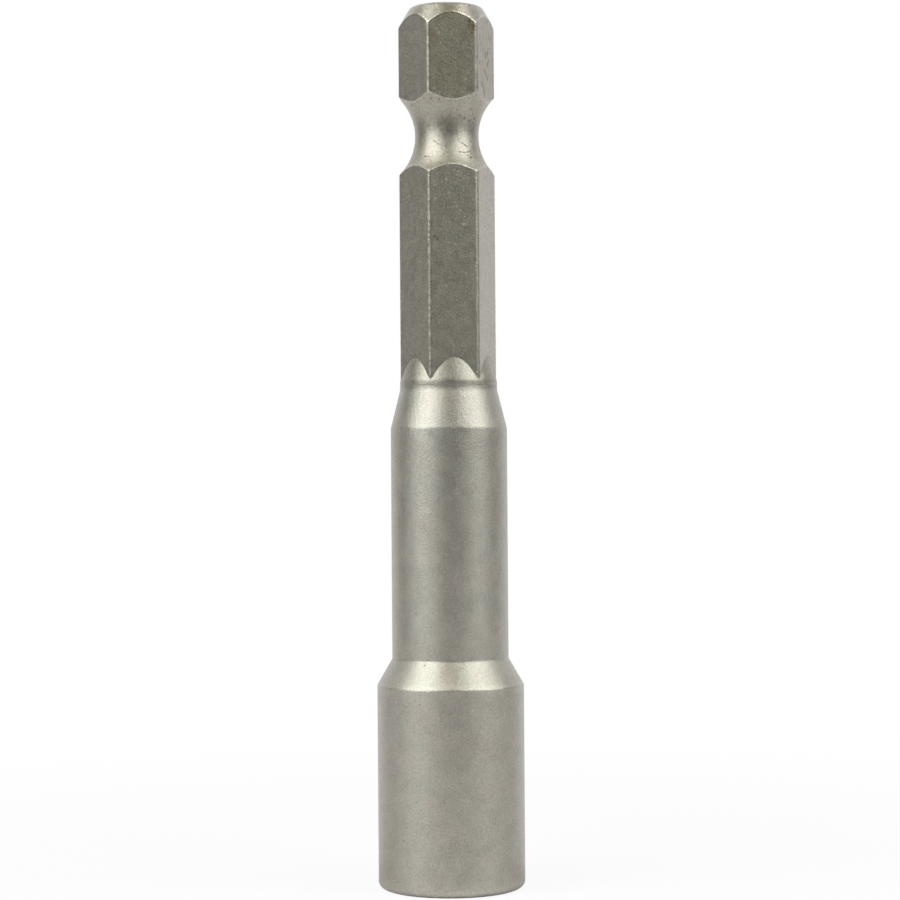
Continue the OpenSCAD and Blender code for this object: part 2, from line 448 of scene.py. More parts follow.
def body_rows(s):
    """Rows of the socket body, from the bottom of the magnet's bore out and up to the seam."""
    head, seam = BODY_HIGH.x, BODY_HIGH.z
    neck, collar = s.neck / 2, SHANK_HIGH.x
    step_top = s.head_length + (head - neck) / math.tan(s.step)
    land = seam - s.land
    shoulder_foot = land - (neck - collar) / math.tan(s.shoulder)
    bore = s.pocket / 2 - s.ledge
    pocket_corner = sharp_corner(s.pocket)
    wall = smooth_min(hex_flats(s.pocket), pocket_corner - POCKET_DULL, POCKET_CORNER)
    mouth = pocket_corner + s.lead_in
    hole = smooth_min(hex_flats(s.spigot + 2 * PRESS_GAP), sharp_corner(s.spigot), HOLE_CORNER)
    hole_floor = SHANK_LOW.z - HOLE_CLEARANCE

    def waver(seed):
        return WAVER * ripple(COLUMNS, 0.0, 0.9 * MM, seed)

    return outline([
        (BORE_CENTRE, SLEEVE_HIGH.z, 0, 0),
        (bore, SLEEVE_HIGH.z, 0.05 * MM, 0),
        (bore, SLEEVE_LOW.z, 0.04 * MM, 0.3),
        (wall, SLEEVE_LOW.z, 0.04 * MM, 0),
        (wall, mouth - wall, 0.08 * MM, 0.8),
        (mouth, 0.0, 0.06 * MM, 0.9),
        (head, 0.0, s.rim_edge, 0.3),
        (head, s.head_length + waver(2.0), s.step_blend, 0.35),
        (neck, step_top + waver(4.0), s.step_blend, 0),
        (neck, shoulder_foot + waver(6.0), s.shoulder_blend, 0.1),
        (collar, land, s.land_blend, 0),
        (collar, seam, s.seam_edge, 0.2),
        (hole, seam, 0, 0),
        (hole, hole_floor, 0, 0),
        (BORE_CENTRE, hole_floor, 0, 0),
    ])


# Materials: marks of use, a builder for nodes, shared node groups and the finishes


FRONT_FLAT = -3.12  # in millimetres, as all marks


def on_front(*spots):
    """Spots (x, z, radius) on the shank's front flat as spots (x, y, z, radius)."""
    return [(x, FRONT_FLAT, z, radius) for x, z, radius in spots]


# Marks of use that the photograph shows: spots (x, y, z, radius) and scratches (start, end). The
# light spots are small nicks with their glints painted on.
SHANK_MARKS = {
    "stains": on_front(
        (0.61, 63.1, 0.16), (-0.3, 60.2, 0.2), (-1.45, 62.5, 0.3), (-1.1, 62.2, 0.2),
        (0.63, 63.35, 0.16), (-0.3, 59.55, 0.2), (-0.83, 60.5, 0.16), (1.3, 58.6, 0.3),
        (-1.3, 61.8, 0.2)) + [
        (-0.1, -3.0, 57.7, 0.2), (1.17, -2.80, 64.40, 0.35), (1.62, -1.90, 54.40, 0.5),
        (1.62, -2.12, 53.85, 0.5)],
    "brown": on_front(
        (1.45, 63.10, 0.42), (1.30, 63.45, 0.22), (1.50, 62.75, 0.2)) + [
        (1.41, -2.43, 53.66, 0.21), (1.20, -2.46, 53.82, 0.12), (0.42, -2.31, 55.61, 0.1)],
    # light: small nicks with painted glints, spots made lighter than the steel
    "light": on_front(
        (-1.16, 62.90, 0.13), (-0.95, 62.66, 0.12), (-1.34, 58.59, 0.14), (0.95, 59.26, 0.15),
        (-0.50, 51.95, 0.11), (0.11, 52.68, 0.12), (0.28, 50.02, 0.11), (0.51, 49.75, 0.11),
        (0.75, 48.73, 0.17), (-1.34, 50.57, 0.10), (0.10, 47.28, 0.10), (0.89, 45.17, 0.10),
        (-0.54, 44.25, 0.11), (-0.31, 51.01, 0.09), (0.39, 52.58, 0.12), (-1.42, 51.86, 0.12),
        (-1.36, 51.53, 0.11), (-0.96, 58.27, 0.10)) + [
        (-2.37, -2.19, 58.09, 0.12), (-1.76, -2.97, 52.74, 0.13), (1.73, -3.03, 52.71, 0.12),
        (0.95, -3.11, 52.97, 0.11), (-0.29, -3.08, 53.17, 0.10), (-0.04, -3.11, 53.16, 0.10)],
    "dark": on_front(
        (-1.37, 47.84, 0.10), (-1.15, 47.62, 0.09), (-0.76, 49.59, 0.07), (-0.54, 50.10, 0.06),
        (-0.95, 48.57, 0.07), (-1.23, 45.89, 0.07)) + [
        (-1.51, -2.78, 57.89, 0.09), (-0.97, -2.96, 57.82, 0.10), (-2.73, -1.16, 57.61, 0.13),
        (1.52, -2.30, 57.23, 0.10), (1.66, -2.02, 56.90, 0.09), (0.63, -2.47, 56.74, 0.10),
        (0.97, -2.30, 56.55, 0.12), (1.37, -2.03, 56.39, 0.13), (1.82, -1.73, 56.61, 0.10),
        (1.86, -3.04, 60.89, 0.09), (1.41, -2.41, 53.67, 0.13)],
    "scratches": [
        ((-1.24, -2.04, 54.93), (-0.91, -2.27, 54.62)),
        ((0.77, -2.29, 54.76), (1.25, -2.16, 54.45)),
        ((0.54, -2.57, 54.06), (0.98, -2.44, 54.02)), ((0.98, -2.44, 54.02), (1.50, -2.10, 54.19)),
        ((-1.99, -1.86, 53.81), (-1.64, -2.22, 53.73))],
    "strokes": [
        ((2.98, -1.10, 61.85), (2.84, -1.33, 61.25)), ((2.74, -1.50, 61.48), (2.63, -1.69, 61.11)),
        ((2.10, -2.61, 60.68), (2.11, -2.59, 60.52)), ((2.98, -1.08, 60.97), (2.86, -1.30, 60.59)),
        ((2.56, -1.82, 60.17), (2.73, -1.52, 59.93)), ((2.73, -1.52, 59.93), (2.88, -1.26, 59.57)),
        ((2.31, -2.25, 59.15), (2.46, -1.99, 58.82)), ((2.41, -2.08, 58.81), (2.57, -1.80, 58.42))],
}
BODY_MARKS = {
    "stains": [(-0.75, -4.62, 16.25, 0.95), (-0.4, -4.75, 15.8, 0.6)],
    "brown": [(1.9, -4.98, 15.2, 0.06)],
    # light: small nicks with painted glints, spots made lighter than the steel
    "light": [
        (-1.08, -5.31, 7.09, 0.13), (-1.12, -5.30, 11.83, 0.11), (0.84, -5.35, 13.55, 0.10),
        (3.31, -4.29, 13.15, 0.13), (-0.26, -5.41, 6.41, 0.10), (-1.95, -5.06, 2.52, 0.10),
        (-1.88, -5.08, 1.34, 0.09)],
    "dark": [
        (-4.01, -3.65, 4.06, 0.09), (-3.2, -4.38, 6.9, 0.06), (-2.14, -3.73, 17.08, 0.08),
        (0.15, -4.52, 16.55, 0.07), (-0.19, -4.63, 16.35, 0.06), (-0.58, -5.39, 14.92, 0.07),
        (0.33, -5.41, 14.53, 0.06), (-2.90, -4.58, 13.95, 0.07), (-3.78, -3.89, 5.03, 0.06),
        (-2.06, -5.01, 6.65, 0.07)],
    "scratches": [],
}

# The two blasted steels: sizes of the grain and of the faint clouds, depth of the dimples,
# shares of pits and specks, and strength of the painted glints on the light spots
SHANK_FINISH = {
    "grain": 0.00013, "clouds": 0.0006, "dimples": 0.000016, "pits": 0.30, "specks": 0.5,
    "painted_glints": 0.5,
}
BODY_FINISH = {
    "grain": 0.0001, "clouds": 0.0013, "dimples": 0.000020, "pits": 0.08, "specks": 0.08,
    "painted_glints": 0.25,
}
STROKE_WIDTH, SCRATCH_WIDTH = 0.13, 0.055  # in millimetres

# Painted shade along the seam, in the crease between shank and body and over the glint of the
# seam's edge: depth below it, half width, and the least and most of it
SEAM_SHADE = ((0.12 * MM, 0.20 * MM, 0.08, 0.20), (0.01 * MM, 0.045 * MM, 0.18, 0.30))

# Tones of the shank's zones, as factors of its steel
# Painted light: the right facet is made paler, as if more light fell on it, and a little less so at
# its scuffed end
RIGHT_PAINTED_LIGHT, RIGHT_END_PAINTED_LIGHT = (1.145, 1.135, 1.165), (1.03, 1.01, 1.01)
FRONT_END_TONE = (0.885, 0.885, 0.81)
CHAMFER_TONE = (0.945, 0.945, 0.975)
ARCH_TONE = (0.90, 0.90, 0.90)
GROOVE_TONE = (0.95, 0.95, 0.95)
CHAMFER_SMOOTHER = 0.13  # how much less rough the end chamfer is

# Limits of the zones: each fades in from the first number to the second
SCUFFED_END = (57.2 * MM, 58.6 * MM)  # along Z
ABOVE_ARCHES = (37.4 * MM, 38.4 * MM)  # along Z
CLEAR_OF_GROOVE = (2.9 * MM, 3.15 * MM)  # away from the axis
# The facet that gets the painted light
PAINTED_LIGHT_FACET = (1.75 * MM, 2.1 * MM)  # along X
FRONT_FACET = (-3.04 * MM, -3.10 * MM)  # along Y
ON_SURFACE = (0.08 * MM, 0.03 * MM)  # gaps at which a place is off a turned surface, and on it


class Nodes:
    """Adds nodes to a tree. A socket as an input's value is linked, anything else is set."""

    def __init__(self, tree):
        self.tree = tree
        tree.nodes.clear()

    def add(self, kind, inputs=None, **settings):
        """A node, with inputs by name or number. A colour gets an alpha of 1."""
        node = self.tree.nodes.new("ShaderNode" + kind)
        for name, value in settings.items():
            setattr(node, name, value)
        for name, value in (inputs or {}).items():
            socket = node.inputs[name]
            if isinstance(value, bpy.types.NodeSocket):
                self.tree.links.new(value, socket)
            else:
                socket.default_value = (*value, 1.0) if socket.type == "RGBA" else value
        return node

    def math(self, operation, *values):
        """A Math node over the values."""
        return self.add("Math", dict(enumerate(values)), operation=operation).outputs[0]

    def plus(self, a, b):
        return self.math("ADD", a, b)

    def minus(self, a, b):
        return self.math("SUBTRACT", a, b)

    def times(self, a, b):
        return self.math("MULTIPLY", a, b)

    def over(self, a, b):
        return self.math("DIVIDE", a, b)

    def most(self, a, b):
        return self.math("MAXIMUM", a, b)

    def gap(self, a, b):
        """How far two values are apart."""
        return self.math("ABSOLUTE", self.minus(a, b))

    def vector(self, operation, *values):
        """A Vector Math node over the values."""
        node = self.add("VectorMath", dict(enumerate(values)), operation=operation)
        number = operation in ("LENGTH", "DISTANCE", "DOT_PRODUCT")
        return node.outputs["Value" if number else "Vector"]

    def parts(self, vector):
        """The outputs X, Y and Z of a vector."""
        return self.add("SeparateXYZ", {"Vector": vector}).outputs

    def level(self, vector):
        """The vector with its Z at 0."""
        return self.vector("MULTIPLY", vector, (1.0, 1.0, 0.0))

    def span(self, value, low, high, to_low=0.0, to_high=1.0):
        """Maps value from low..high to to_low..to_high with soft ends."""
        return self.add("MapRange", {
            "Value": value, "From Min": low, "From Max": high,
            "To Min": to_low, "To Max": to_high,
        }, interpolation_type="SMOOTHSTEP").outputs["Result"]

    def noise(self, where, scale, detail=2.0, roughness=0.5):
        return self.add("TexNoise", {
            "Vector": where, "Scale": scale, "Detail": detail, "Roughness": roughness,
        }).outputs["Fac"]

    def mix(self, share, a, b):
        """Colour a, with its share of colour b. The numbers are those of the colour sockets."""
        return self.add("Mix", {0: share, 6: a, 7: b}, data_type="RGBA").outputs[2]

    def group(self, build, where, inputs):
        """The outputs of a shared node group."""
        inputs = {"Coordinates": where, **inputs}
        return self.add("Group", inputs, node_tree=build()).outputs


def shared_group(name, inputs):
    """Turns a function that fills a node group into one that gives the group, made only once.

    inputs are the group's numbers and their defaults, beside its coordinates. The function
    gets the group's nodes and inputs, and returns its outputs by name.
    """
    def wrap(fill):
        def give():
            if name in bpy.data.node_groups:
                return bpy.data.node_groups[name]
            tree = bpy.data.node_groups.new(name, "ShaderNodeTree")
            nodes = Nodes(tree)
            new_socket = tree.interface.new_socket
            new_socket("Coordinates", in_out="INPUT", socket_type="NodeSocketVector")
            for label, default in inputs.items():
                socket = new_socket(label, in_out="INPUT", socket_type="NodeSocketFloat")
                socket.default_value = default
            results = fill(nodes, tree.nodes.new("NodeGroupInput").outputs)
            for label in results:
                new_socket(label, in_out="OUTPUT", socket_type="NodeSocketFloat")
            ends = tree.nodes.new("NodeGroupOutput").inputs
            for label, result in results.items():
                tree.links.new(result, ends[label])
            return tree
        return give
    return wrap


@shared_group("Blasted Grain", {"Grain Size": 0.00016, "Cloud Size": 0.0012})
def blasted_grain(nodes, given):
    """Dimples of a fine blasted surface, its sparkle, its broad clouds and their hue."""
    where = given["Coordinates"]
    fine = nodes.over(1.0, given["Grain Size"])
    broad = nodes.over(1.0, given["Cloud Size"])
    dimples = nodes.add("TexVoronoi", {
        "Vector": where, "Scale": fine, "Smoothness": 0.8, "Randomness": 1.0,
    }, feature="SMOOTH_F1").outputs["Distance"]
    grit = nodes.noise(where, nodes.times(fine, 0.8), 3.0, 0.6)
    rough = nodes.noise(where, nodes.times(fine, 0.3))
    hue = nodes.noise(where, nodes.times(broad, 0.6), 3.0, 0.6)
    return {
        "Height": nodes.plus(
            nodes.times(dimples, 0.4), nodes.plus(grit, nodes.times(rough, 0.5))),
        "Sparkle": nodes.span(grit, 0.35, 0.65),
        "Cloud": nodes.span(nodes.noise(where, broad, 4.0, 0.6), 0.3, 0.7),
        "Hue": nodes.span(hue, 0.35, 0.65),
    }


@shared_group("Edge Wear", {"Edge": 0.0, "Break-Up Size": 0.0004, "Amount": 0.5})
def edge_wear(nodes, given):
    """Where an edge is rubbed bright, and where a worn corner is dull with bright dots.

    Edge is the mesh's own edge value, up to 1 on a bright edge and down to -1 on a corner.
    """
    scale = nodes.over(1.0, given["Break-Up Size"])
    patchy = nodes.span(nodes.noise(given["Coordinates"], scale, 3.0, 0.6), 0.3, 0.65)
    bright = nodes.most(given["Edge"], 0.0)
    corner = nodes.most(nodes.times(given["Edge"], -1.0), 0.0)
    return {
        "Mask": nodes.times(nodes.times(bright, patchy), given["Amount"]),
        "Dull": nodes.times(corner, nodes.span(patchy, 0.3, 1.0, 0.8, 0.2)),
    }


@shared_group("Pits and Stains", {
    "Pit Size": 0.00007, "Pit Spacing": 0.0009, "Pit Share": 0.3, "Speck Share": 0.1,
    "Stain Size": 0.002})
def pits_and_stains(nodes, given):
    """Small dark pits, small light specks, and faint broad stains."""
    where = given["Coordinates"]
    scale = nodes.over(1.0, given["Pit Spacing"])
    cells = nodes.add("TexVoronoi", {"Vector": where, "Scale": scale, "Randomness": 1.0}).outputs
    chance = nodes.add("SeparateColor", {"Color": cells["Color"]}).outputs
    size = nodes.times(given["Pit Size"], scale)
    ragged = nodes.plus(cells["Distance"], nodes.times(
        nodes.minus(nodes.noise(where, 14000.0), 0.5), nodes.times(size, 1.5)))
    spot = nodes.span(nodes.minus(1.0, nodes.over(ragged, size)), 0.0, 0.6)
    broad = nodes.over(1.0, given["Stain Size"])
    return {
        "Pits": nodes.times(spot, nodes.math("LESS_THAN", chance[0], given["Pit Share"])),
        "Specks": nodes.times(spot, nodes.math("LESS_THAN", chance[1], given["Speck Share"])),
        "Stains": nodes.span(nodes.noise(where, broad, 3.0, 0.55), 0.56, 0.78),
    }


@shared_group("Turned Rings", {"Pitch": 0.00008})
def turned_rings(nodes, given):
    """Fine concentric lines that a lathe leaves round the axis."""
    where = given["Coordinates"]
    way = nodes.plus(nodes.vector("LENGTH", nodes.level(where)), nodes.parts(where)["Z"])
    shaken = nodes.plus(way, nodes.times(nodes.noise(where, 900.0), 0.00003))
    turns = nodes.over(shaken, given["Pitch"])
    return {"Height": nodes.math("SINE", nodes.times(turns, 2 * math.pi))}


@shared_group("Scuffs", {"Width": 0.0002})
def scuffs(nodes, given):
    """Short dark streaks that run along the tool's axis."""
    drawn_out = nodes.vector("MULTIPLY", given["Coordinates"], (1.0, 1.0, 0.3))
    scale = nodes.over(1.0, given["Width"])
    return {"Mask": nodes.span(nodes.noise(drawn_out, scale, 2.0, 0.6), 0.54, 0.7)}


def spots(nodes, where, places):
    """A mask of soft ragged spots at the places (x, y, z, radius), in millimetres."""
    mask = 0.0
    rag = nodes.minus(nodes.noise(where, 6000.0, 3.0), 0.5)
    for x, y, z, radius in places:
        far = nodes.vector("DISTANCE", where, (x * MM, y * MM, z * MM))
        ragged = nodes.plus(far, nodes.times(rag, radius * 1.6 * MM))
        mask = nodes.most(mask, nodes.span(ragged, radius * MM, radius * 0.4 * MM))
    return mask


def scratches(nodes, where, lines, width):
    """A mask of thin lines, each from one place to another, in millimetres."""
    mask = 0.0
    for start, end in lines:
        start, along = Vector(start) * MM, (Vector(end) - Vector(start)) * MM
        past = nodes.vector("SUBTRACT", where, start)
        way = nodes.vector("DOT_PRODUCT", past, along / along.length_squared)
        way = nodes.math("MINIMUM", nodes.most(way, 0.0), 1.0)
        far = nodes.vector("DISTANCE", past, nodes.vector("MULTIPLY", along, way))
        mask = nodes.most(mask, nodes.span(far, width * MM, width * 0.3 * MM))
    return mask


def new_material(name):
    """A material, its nodes and the places on the object that it covers."""
    material = bpy.data.materials.new(name)
    material.use_nodes = True
    nodes = Nodes(material.node_tree)
    return material, nodes, nodes.add("TexCoord").outputs["Object"]


def finish_material(material, nodes, shader, preview):
    output = nodes.tree.nodes.new("ShaderNodeOutputMaterial")
    nodes.tree.links.new(shader.outputs[0], output.inputs["Surface"])
    material.diffuse_color = (*preview, 1.0)
    return material


def finish_metal(material, nodes, base, rough, bump, preview):
    """Closes a metal's material. bump is its depth and its height."""
    relief = nodes.add("Bump", {"Strength": 1.0, "Distance": bump[0], "Height": bump[1]})
    shader = nodes.add("BsdfPrincipled", {
        "Base Color": base, "Metallic": 1.0, "Roughness": rough,
        "Normal": relief.outputs["Normal"]})
    return finish_material(material, nodes, shader, preview)


def tinted(colour, *factors):
    """The colour with each of its parts multiplied by a factor, or all of them by one."""
    factors = factors * 3 if len(factors) == 1 else factors
    return tuple(min(1.0, c * f) for c, f in zip(colour, factors))


def on_cone(nodes, out, height, cone):
    """Mask of the places on a cone (radius, height at that radius, slope)."""
    radius, foot, slope = cone
    surface = nodes.plus(radius, nodes.times(nodes.minus(height, foot), slope))
    return nodes.span(nodes.gap(out, surface), *ON_SURFACE)


def in_groove(nodes, out, height, groove):
    """Mask of the places in a groove (radius and height of its centre, section radius)."""
    centre, middle, radius = groove
    past = nodes.minus(height, middle)
    drop = nodes.math("SQRT", nodes.most(nodes.minus(radius ** 2, nodes.times(past, past)), 0.0))
    return nodes.span(nodes.gap(nodes.plus(out, drop), centre), *ON_SURFACE)


def worn_hex(nodes, where, base, dull, marks, soot, turned):
    """The shank's colours: its end is scuffed, and its right facet is made paler with painted
    light.

    turned holds the end chamfer's cone, the cone of the arches and the groove. Returns the
    colour and how much smoother the end chamfer is.
    """
    parts = nodes.parts(where)
    x, y, z = parts["X"], parts["Y"], parts["Z"]
    out = nodes.vector("LENGTH", nodes.level(where))
    chamfer, arches = (on_cone(nodes, out, z, cone) for cone in turned[:2])
    groove = in_groove(nodes, out, z, turned[2])
    end = nodes.span(z, *SCUFFED_END)
    flat = nodes.times(nodes.span(out, *CLEAR_OF_GROOVE), nodes.minus(1.0, chamfer))
    # Painted light: the right facet, above the arches and clear of the groove, is made paler
    right = nodes.times(flat, nodes.times(
        nodes.span(x, *PAINTED_LIGHT_FACET), nodes.span(z, *ABOVE_ARCHES)))
    front = nodes.times(end, nodes.span(y, *FRONT_FACET))
    tone = nodes.mix(right, (1.0, 1.0, 1.0), nodes.mix(end, RIGHT_PAINTED_LIGHT, RIGHT_END_PAINTED_LIGHT))
    for zone, zone_tone in (
            (front, FRONT_END_TONE), (chamfer, CHAMFER_TONE), (arches, ARCH_TONE),
            (groove, GROOVE_TONE)):
        tone = nodes.mix(zone, tone, zone_tone)
    base = nodes.vector("MULTIPLY", base, tone)
    less_right = nodes.span(x, 0.5 * MM, 1.5 * MM, 0.9, 0.5)
    base = nodes.mix(nodes.times(dull, less_right), base, soot)
    rub = nodes.group(scuffs, where, {"Width": 0.00024})["Mask"]
    more_right = nodes.span(x, 0.8 * MM, 2.2 * MM, 0.05, 0.5)
    side = nodes.times(nodes.times(flat, end), more_right)
    base = nodes.mix(nodes.times(rub, side), base, soot)
    ragged = nodes.span(nodes.noise(where, 9000.0, 3.0), 0.3, 0.5, 0.2, 0.7)
    drawn = nodes.times(scratches(nodes, where, marks["strokes"], STROKE_WIDTH), ragged)
    return nodes.mix(drawn, base, soot), nodes.times(chamfer, CHAMFER_SMOOTHER)


def blasted_steel(name, s, finish, marks, turned=None):
    """Satin steel with a blasted grain, rubbed edges, pits, marks, painted glints and painted seam
    shade.

    The marks are spots and scratches at fixed places. turned is the shank's, see worn_hex.
    """
    steel = s.steel
    material, nodes, where = new_material(name)
    edge = nodes.add("Attribute", attribute_name="edge_wear").outputs["Fac"]
    surface = nodes.group(blasted_grain, where, {
        "Grain Size": finish["grain"], "Cloud Size": finish["clouds"]})
    wear = nodes.group(edge_wear, where, {
        "Edge": edge, "Break-Up Size": 0.00023, "Amount": 0.95})
    flaws = nodes.group(pits_and_stains, where, {
        "Pit Size": 0.000065, "Pit Spacing": 0.0008, "Pit Share": finish["pits"],
        "Speck Share": finish["specks"]})
    soot = tinted(steel, 0.22)

    mottled = nodes.span(nodes.noise(where, 7000.0, 3.0), 0.36, 0.54)
    tone = nodes.plus(nodes.times(surface["Cloud"], 0.35), nodes.times(surface["Sparkle"], 0.65))
    warm = nodes.mix(tone, tinted(steel, 0.83, 0.81, 0.81), tinted(steel, 1.18, 1.15, 1.15))
    green = nodes.mix(tone, tinted(steel, 0.81, 0.825, 0.815), tinted(steel, 1.14, 1.165, 1.15))
    base = nodes.mix(surface["Hue"], warm, green)
    scored = nodes.times(
        scratches(nodes, where, marks["scratches"], SCRATCH_WIDTH),
        nodes.span(mottled, 0.0, 1.0, 0.45, 1.0))
    for mask, strength, tint in (
            (wear["Mask"], 1.0, tinted(steel, 1.45)),
            (flaws["Specks"], 0.7, tinted(steel, 1.55)), (flaws["Pits"], 0.7, soot),
            (spots(nodes, where, marks["stains"]), 0.3, tinted(steel, 0.66, 0.56, 0.51)),
            (nodes.times(spots(nodes, where, marks["brown"]), mottled), 0.95,
             tinted(steel, 0.58, 0.45, 0.34)),
            # painted glints: the light spots are made twice as light as the steel
            (spots(nodes, where, marks["light"]), finish["painted_glints"], tinted(steel, 2.0)),
            (spots(nodes, where, marks["dark"]), 0.6, soot), (scored, 0.5, soot)):
        base = nodes.mix(nodes.times(mask, strength), base, tint)
    height = nodes.parts(where)["Z"]
    # Painted shade: two soft bands along the seam darken the steel, as shade in the crease between
    # the pieces and over the glint of its edge
    for depth, half_width, least, most in SEAM_SHADE:
        seam = nodes.span(
            nodes.gap(height, BODY_HIGH.z - depth), half_width, half_width * 0.35)
        seam_shade = nodes.times(seam, nodes.span(mottled, 0.0, 1.0, least, most))
        base = nodes.mix(seam_shade, base, tinted(steel, 0.4))
    smoother = 0.0
    if turned:
        base, smoother = worn_hex(
            nodes, where, base, wear["Dull"], marks, tinted(steel, 0.3), turned)

    cloudy = nodes.times(nodes.minus(surface["Cloud"], 0.5), 0.03)
    rough = nodes.minus(
        nodes.plus(s.roughness, cloudy), nodes.plus(nodes.times(wear["Mask"], 0.08), smoother))
    dents = nodes.most(flaws["Pits"], scored)
    relief = nodes.minus(surface["Height"], dents)
    return finish_metal(material, nodes, base, rough, (finish["dimples"], relief), steel)


def turned_metal(name, metal, roughness, pitch, depth):
    """Bare or plated metal with fine turned lines and a few marks."""
    material, nodes, where = new_material(name)
    edge = nodes.add("Attribute", attribute_name="edge_wear").outputs["Fac"]
    rings = nodes.group(turned_rings, where, {"Pitch": pitch})
    wear = nodes.group(edge_wear, where, {"Edge": edge, "Break-Up Size": 0.0003, "Amount": 0.5})
    marks = nodes.group(pits_and_stains, where, {
        "Pit Size": 0.00005, "Pit Spacing": 0.0009, "Pit Share": 0.3, "Speck Share": 0.0,
        "Stain Size": 0.0015})
    base = nodes.mix(nodes.times(marks["Stains"], 0.5), metal, tinted(metal, 0.75))
    base = nodes.mix(wear["Mask"], base, tinted(metal, 1.25))
    base = nodes.mix(nodes.times(marks["Pits"], 0.6), base, tinted(metal, 0.4))
    rough = nodes.plus(roughness, nodes.times(marks["Stains"], 0.12))
    return finish_metal(material, nodes, base, rough, (depth, rings["Height"]), metal)


# Operators: one for each piece and one for the stage


class NUTSETTER_OT_build_drive_shank(bpy.types.Operator):
    """Build the hex drive shank with its ball groove, arches and worn corners"""

    bl_idname = "nutsetter.build_drive_shank"
    bl_label = "Build Drive Shank"
    bl_options = {"REGISTER", "UNDO"}

    def execute(self, context):
        s = context.scene.nutsetter_drive_shank
        piece = loft("shank", shank_rows(s, context.scene.nutsetter_socket_body))
        turned = [
            (s.end_face / 2, SHANK_HIGH.z, -math.tan(s.end_chamfer)),
            (SHANK_HIGH.x, BODY_HIGH.z + s.collar_length, -math.tan(s.runout)),
            (s.groove_neck / 2 + s.groove_radius, SHANK_HIGH.z - s.groove_from_end,
             s.groove_radius)]
        steel = blasted_steel("Shank Steel", s, SHANK_FINISH, SHANK_MARKS, turned)
        dress(piece, "drive_shank", steel)
        return {"FINISHED"}


class NUTSETTER_OT_build_socket_body(bpy.types.Operator):
    """Build the turned socket body with its neck, head, hex pocket and bores"""

    bl_idname = "nutsetter.build_socket_body"
    bl_label = "Build Socket Body"
    bl_options = {"REGISTER", "UNDO"}

    def execute(self, context):
        s = context.scene.nutsetter_socket_body
        piece = loft("body", body_rows(s))
        steel = blasted_steel("Body Steel", s, BODY_FINISH, BODY_MARKS)
        dress(piece, "socket_body", steel)
        return {"FINISHED"}


class NUTSETTER_OT_build_magnet_sleeve(bpy.types.Operator):
    """Build the turned aluminium sleeve round the magnet"""

    bl_idname = "nutsetter.build_magnet_sleeve"
    bl_label = "Build Magnet Sleeve"
    bl_options = {"REGISTER", "UNDO"}

    def execute(self, context):
        s = context.scene.nutsetter_inserts
        outer, inner = SLEEVE_HIGH.x, SLEEVE_HIGH.x - s.sleeve_wall
        low, high = SLEEVE_LOW.z, SLEEVE_HIGH.z
        middle = (inner + outer) / 2
        rows = outline([
            (middle, low, 0, 0),
            (outer, low, s.edge, 0.6),
            (outer, high, s.edge, 0),
            (inner, high, s.edge, 0),
            (inner, low, s.edge, 0.6),
            (middle, low, 0, 0),
        ])[:-1]
        piece = loft("sleeve", rows, ring=True)
        metal = turned_metal(
            "Sleeve Aluminium", s.aluminium, roughness=0.34, pitch=0.00009, depth=0.0000015)
        dress(piece, "magnet_sleeve", metal)
        return {"FINISHED"}


class NUTSETTER_OT_build_magnet(bpy.types.Operator):
    """Build the nickel-plated magnet"""

    bl_idname = "nutsetter.build_magnet"
    bl_label = "Build Magnet"
    bl_options = {"REGISTER", "UNDO"}

    def execute(self, context):
        s = context.scene.nutsetter_inserts
        radius = MAGNET_HIGH.x
        low, high = MAGNET_LOW.z, MAGNET_HIGH.z
        rows = outline([
            (MAGNET_CENTRE, low, 0, 0),
            (radius, low, s.edge, 0.7),
            (radius, high, s.edge, 0),
            (MAGNET_CENTRE, high, 0, 0),
        ])
        piece = loft("magnet_disc", rows)
        metal = turned_metal(
            "Magnet Nickel", s.nickel, roughness=0.24, pitch=0.00013, depth=0.0000006)
        dress(piece, "magnet", metal)
        return {"FINISHED"}


def heading(azimuth, elevation=0.0):
    """Unit vector from the tool to that azimuth and elevation. Azimuth 0 is in front, at -Y."""
    return Vector((
        math.sin(azimuth) * math.cos(elevation),
        -math.cos(azimuth) * math.cos(elevation),
        math.sin(elevation),
    ))


def add_camera(s):
    data = bpy.data.cameras.new("camera")
    data.sensor_width = SENSOR_WIDTH
    data.lens = s.focal_length
    data.shift_x = s.drift / IMAGE_SIDE
    data.shift_y = s.rise / IMAGE_SIDE
    data.clip_start, data.clip_end = 0.01, 20.0
    camera = add_object("camera", data)
    back = heading(s.camera_azimuth)
    camera.location = back * s.camera_distance + Vector((0, 0, s.camera_height))
    level_view = (-back).to_track_quat("-Z", "Y").to_matrix().to_4x4()
    camera.rotation_euler = (level_view @ Matrix.Rotation(-s.camera_roll, 4, "Z")).to_euler()
    bpy.context.scene.camera = camera


def add_soft_box(name, s, place, brightness, lean):
    """A soft box aimed at the tool. Its brightness is what a mirror would show of it."""
    turn, elevation, size = place
    data = bpy.data.lights.new(name, "AREA")
    data.shape = "RECTANGLE"
    data.size, data.size_y = size
    data.energy = brightness * math.pi * size[0] * size[1]
    data.color = s.box_colour
    lamp = add_object(name, data)
    out = heading(s.camera_azimuth + turn, elevation)
    lamp.location = Vector((0, 0, BOX_AIM)) + out * BOX_DISTANCE
    upright = out.to_track_quat("Z", "Y").to_matrix().to_4x4()
    lamp.rotation_euler = (upright @ Matrix.Rotation(lean, 4, "Z")).to_euler()
    lamp.visible_camera = False


def backdrop_sector(nodes, direction, camera_azimuth):
    """1 for directions to the white backdrop behind the tool, 0 for the room in front of it."""
    flat = nodes.vector("NORMALIZE", nodes.level(direction))
    facing = nodes.vector("DOT_PRODUCT", flat, -heading(camera_azimuth - BACKDROP_TURN))
    return nodes.span(facing, *(math.cos(off) for off in BACKDROP_EDGE))


